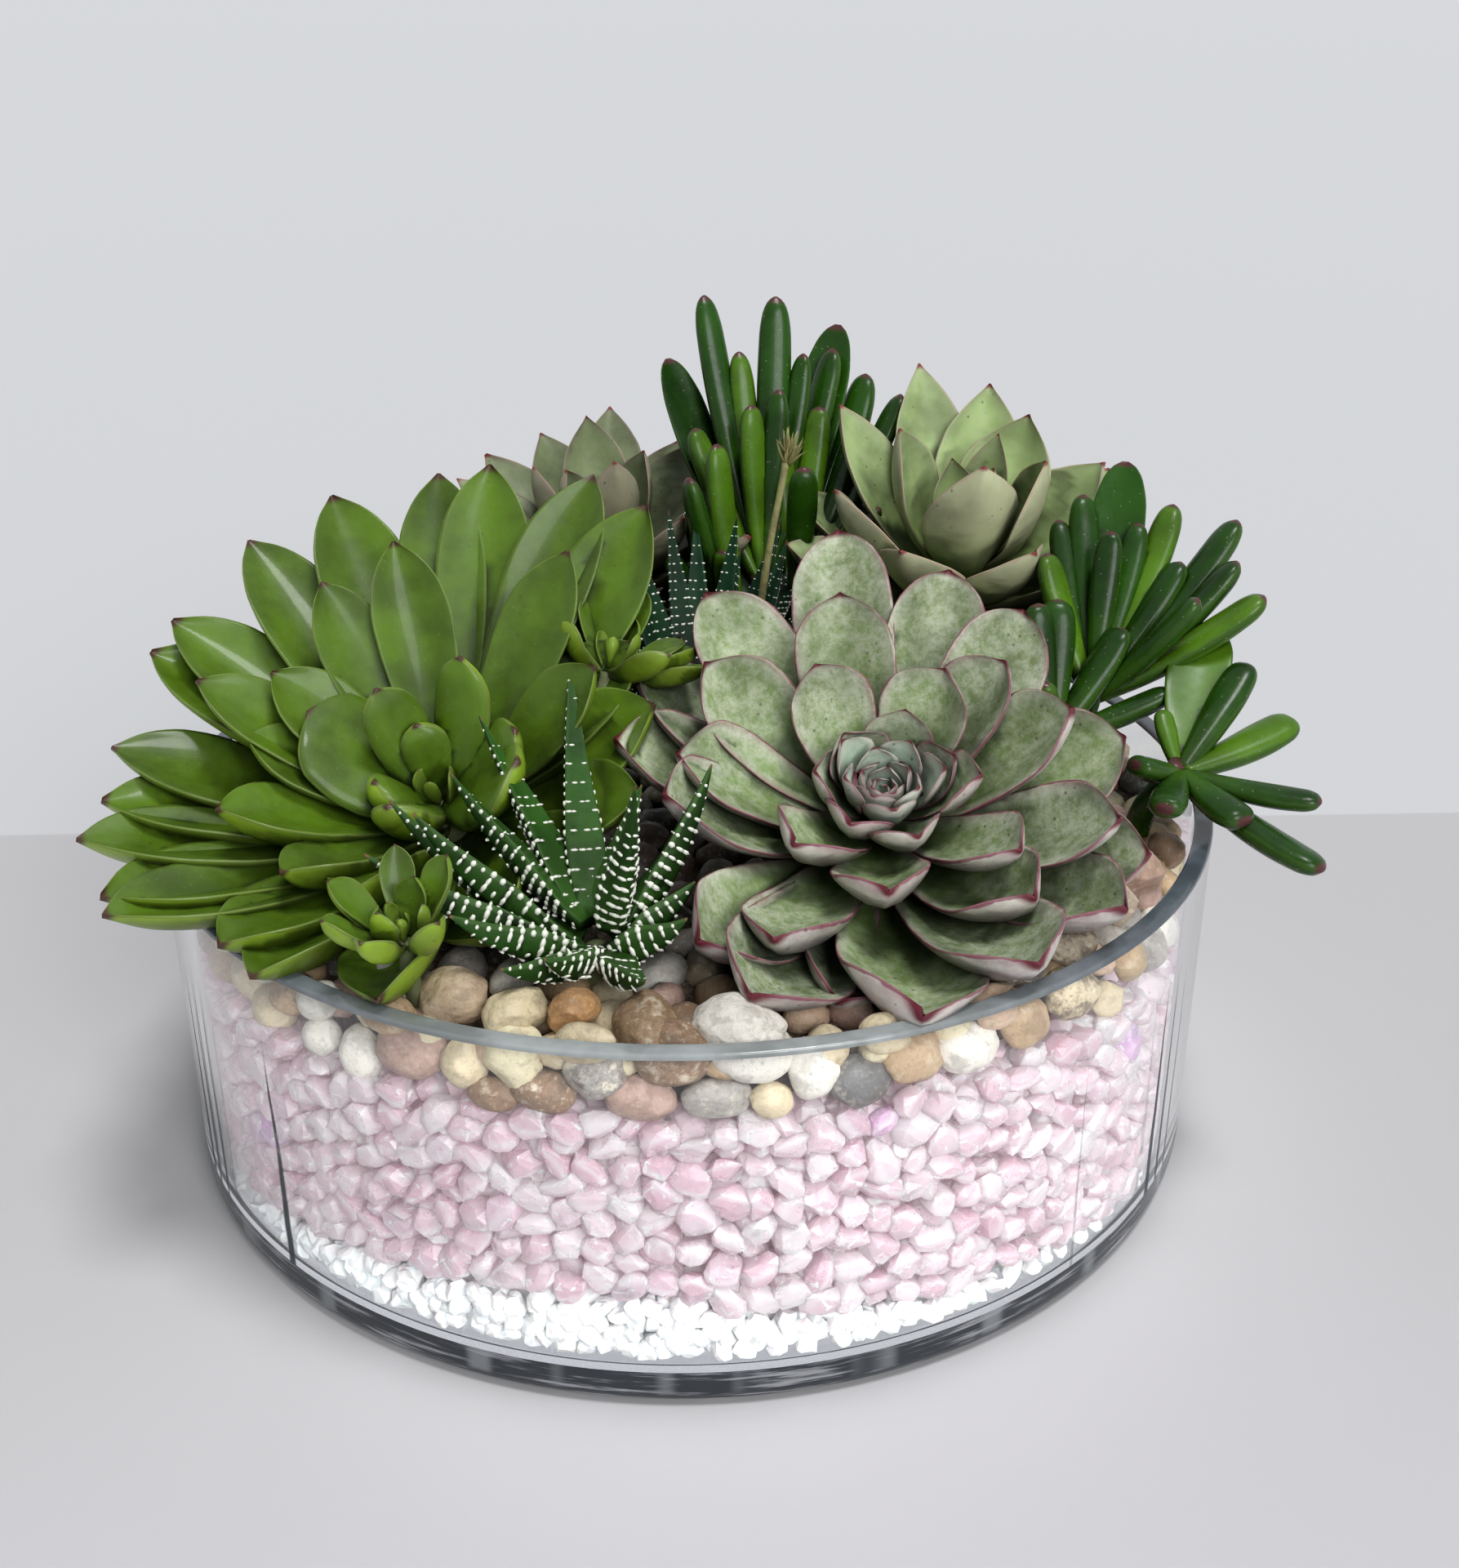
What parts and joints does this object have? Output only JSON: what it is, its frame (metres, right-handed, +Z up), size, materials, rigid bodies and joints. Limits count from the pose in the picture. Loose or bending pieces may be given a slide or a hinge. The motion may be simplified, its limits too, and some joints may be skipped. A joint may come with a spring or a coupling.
{
  "type": "succulent rock garden",
  "caption": "Round clear glass dish layered with white gravel, rose quartz chips, soil and river pebbles, planted with echeveria rosettes, haworthias and finger-leaved crassulas.",
  "frame": {"origin": "middle of the flat underside of the glass dish, on the surface it stands on", "axes": "+Z up, -Y towards the side that the large rosettes face, +X to the right seen from that side"},
  "size_m": [0.2711, 0.25, 0.1843],
  "materials": {
    "back_crassula_front_leaves": "glossy dark green finger leaf with maroon tip",
    "back_crassula_side_leaves": "glossy dark green finger leaf with maroon tip",
    "back_crassula_tall_leaves": "glossy dark green finger leaf with maroon tip",
    "back_haworthia_inner_leaves": "very dark leaf with white dots",
    "back_haworthia_outer_leaves": "very dark leaf with white dots",
    "back_haworthia_stem": "short fleshy stem",
    "back_pebble_1": "water-worn, matt",
    "back_pebble_2": "water-worn, matt",
    "back_pebble_3": "water-worn, matt",
    "back_pebble_4": "water-worn, matt",
    "brown_pebble": "water-worn, matt",
    "cream_pebble": "water-worn, matt",
    "dark_pebble": "water-worn, matt",
    "flower_stalk": "dry, golden brown",
    "front_haworthia_inner_leaves": "dark green leaf with white raised bands",
    "front_haworthia_outer_leaves": "dark green leaf with white raised bands",
    "front_haworthia_stem": "short fleshy stem",
    "glass_bowl": "clear polished glass",
    "green_echeveria_inner_leaves": "glossy bright green leaf",
    "green_echeveria_middle_leaves": "glossy bright green leaf",
    "green_echeveria_outer_leaves": "glossy bright green leaf",
    "green_echeveria_stem": "short fleshy stem",
    "green_offset_front_leaves": "glossy bright green leaf",
    "green_offset_front_stem": "short fleshy stem",
    "green_offset_right_leaves": "glossy bright green leaf",
    "green_offset_right_stem": "short fleshy stem",
    "grey_echeveria_inner_leaves": "waxy grey-green leaf",
    "grey_echeveria_middle_leaves": "waxy grey-green leaf",
    "grey_echeveria_outer_leaves": "waxy grey-green leaf",
    "grey_echeveria_stem": "short fleshy stem",
    "grey_pebble": "water-worn, matt",
    "mottled_pebble": "water-worn, matt",
    "orange_pebble": "water-worn, matt",
    "pale_echeveria_heart_leaves": "waxy sage leaf with a cream margin",
    "pale_echeveria_inner_leaves": "waxy sage leaf with a cream margin",
    "pale_echeveria_middle_leaves": "waxy sage leaf with a cream margin",
    "pale_echeveria_outer_leaves": "waxy sage leaf with a cream margin",
    "pale_echeveria_stem": "short fleshy stem",
    "pebble_bed": "mixed river pebbles, cream to brown",
    "pink_edged_echeveria_heart_leaves": "waxy leaf, powdery bloom and crimson margin",
    "pink_edged_echeveria_inner_leaves": "waxy leaf, powdery bloom and crimson margin",
    "pink_edged_echeveria_middle_leaves": "waxy leaf, powdery bloom and crimson margin",
    "pink_edged_echeveria_outer_leaves": "waxy leaf, powdery bloom and crimson margin",
    "pink_edged_echeveria_stem": "short fleshy stem",
    "pink_pebble": "water-worn, matt",
    "potting_soil": "dark loose potting soil",
    "right_crassula_lower_leaves": "glossy dark green finger leaf with maroon tip",
    "right_crassula_side_leaves": "glossy dark green finger leaf with maroon tip",
    "right_crassula_upper_leaves": "glossy dark green finger leaf with maroon tip",
    "rim_pebble": "water-worn, matt",
    "rose_quartz_chips": "translucent pink and lilac quartz chips",
    "seed_head": "dry and frayed",
    "tan_pebble": "water-worn, matt",
    "white_gravel": "crushed white marble gravel",
    "white_pebble": "water-worn, matt"
  },
  "bodies": {
    "root": {"back_crassula_front_leaves": "back_crassula_front_leaves", "back_crassula_side_leaves": "back_crassula_side_leaves", "back_crassula_tall_leaves": "back_crassula_tall_leaves", "back_haworthia_inner_leaves": "back_haworthia_inner_leaves", "back_haworthia_outer_leaves": "back_haworthia_outer_leaves", "back_haworthia_stem": "back_haworthia_stem", "back_pebble_1": "back_pebble_1", "back_pebble_2": "back_pebble_2", "back_pebble_3": "back_pebble_3", "back_pebble_4": "back_pebble_4", "brown_pebble": "brown_pebble", "cream_pebble": "cream_pebble", "dark_pebble": "dark_pebble", "flower_stalk": "flower_stalk", "front_haworthia_inner_leaves": "front_haworthia_inner_leaves", "front_haworthia_outer_leaves": "front_haworthia_outer_leaves", "front_haworthia_stem": "front_haworthia_stem", "glass_bowl": "glass_bowl", "green_echeveria_inner_leaves": "green_echeveria_inner_leaves", "green_echeveria_middle_leaves": "green_echeveria_middle_leaves", "green_echeveria_outer_leaves": "green_echeveria_outer_leaves", "green_echeveria_stem": "green_echeveria_stem", "green_offset_front_leaves": "green_offset_front_leaves", "green_offset_front_stem": "green_offset_front_stem", "green_offset_right_leaves": "green_offset_right_leaves", "green_offset_right_stem": "green_offset_right_stem", "grey_echeveria_inner_leaves": "grey_echeveria_inner_leaves", "grey_echeveria_middle_leaves": "grey_echeveria_middle_leaves", "grey_echeveria_outer_leaves": "grey_echeveria_outer_leaves", "grey_echeveria_stem": "grey_echeveria_stem", "grey_pebble": "grey_pebble", "mottled_pebble": "mottled_pebble", "orange_pebble": "orange_pebble", "pale_echeveria_heart_leaves": "pale_echeveria_heart_leaves", "pale_echeveria_inner_leaves": "pale_echeveria_inner_leaves", "pale_echeveria_middle_leaves": "pale_echeveria_middle_leaves", "pale_echeveria_outer_leaves": "pale_echeveria_outer_leaves", "pale_echeveria_stem": "pale_echeveria_stem", "pebble_bed": "pebble_bed", "pink_edged_echeveria_heart_leaves": "pink_edged_echeveria_heart_leaves", "pink_edged_echeveria_inner_leaves": "pink_edged_echeveria_inner_leaves", "pink_edged_echeveria_middle_leaves": "pink_edged_echeveria_middle_leaves", "pink_edged_echeveria_outer_leaves": "pink_edged_echeveria_outer_leaves", "pink_edged_echeveria_stem": "pink_edged_echeveria_stem", "pink_pebble": "pink_pebble", "potting_soil": "potting_soil", "right_crassula_lower_leaves": "right_crassula_lower_leaves", "right_crassula_side_leaves": "right_crassula_side_leaves", "right_crassula_upper_leaves": "right_crassula_upper_leaves", "rim_pebble": "rim_pebble", "rose_quartz_chips": "rose_quartz_chips", "seed_head": "seed_head", "tan_pebble": "tan_pebble", "white_gravel": "white_gravel", "white_pebble": "white_pebble"}
  },
  "joints": []
}
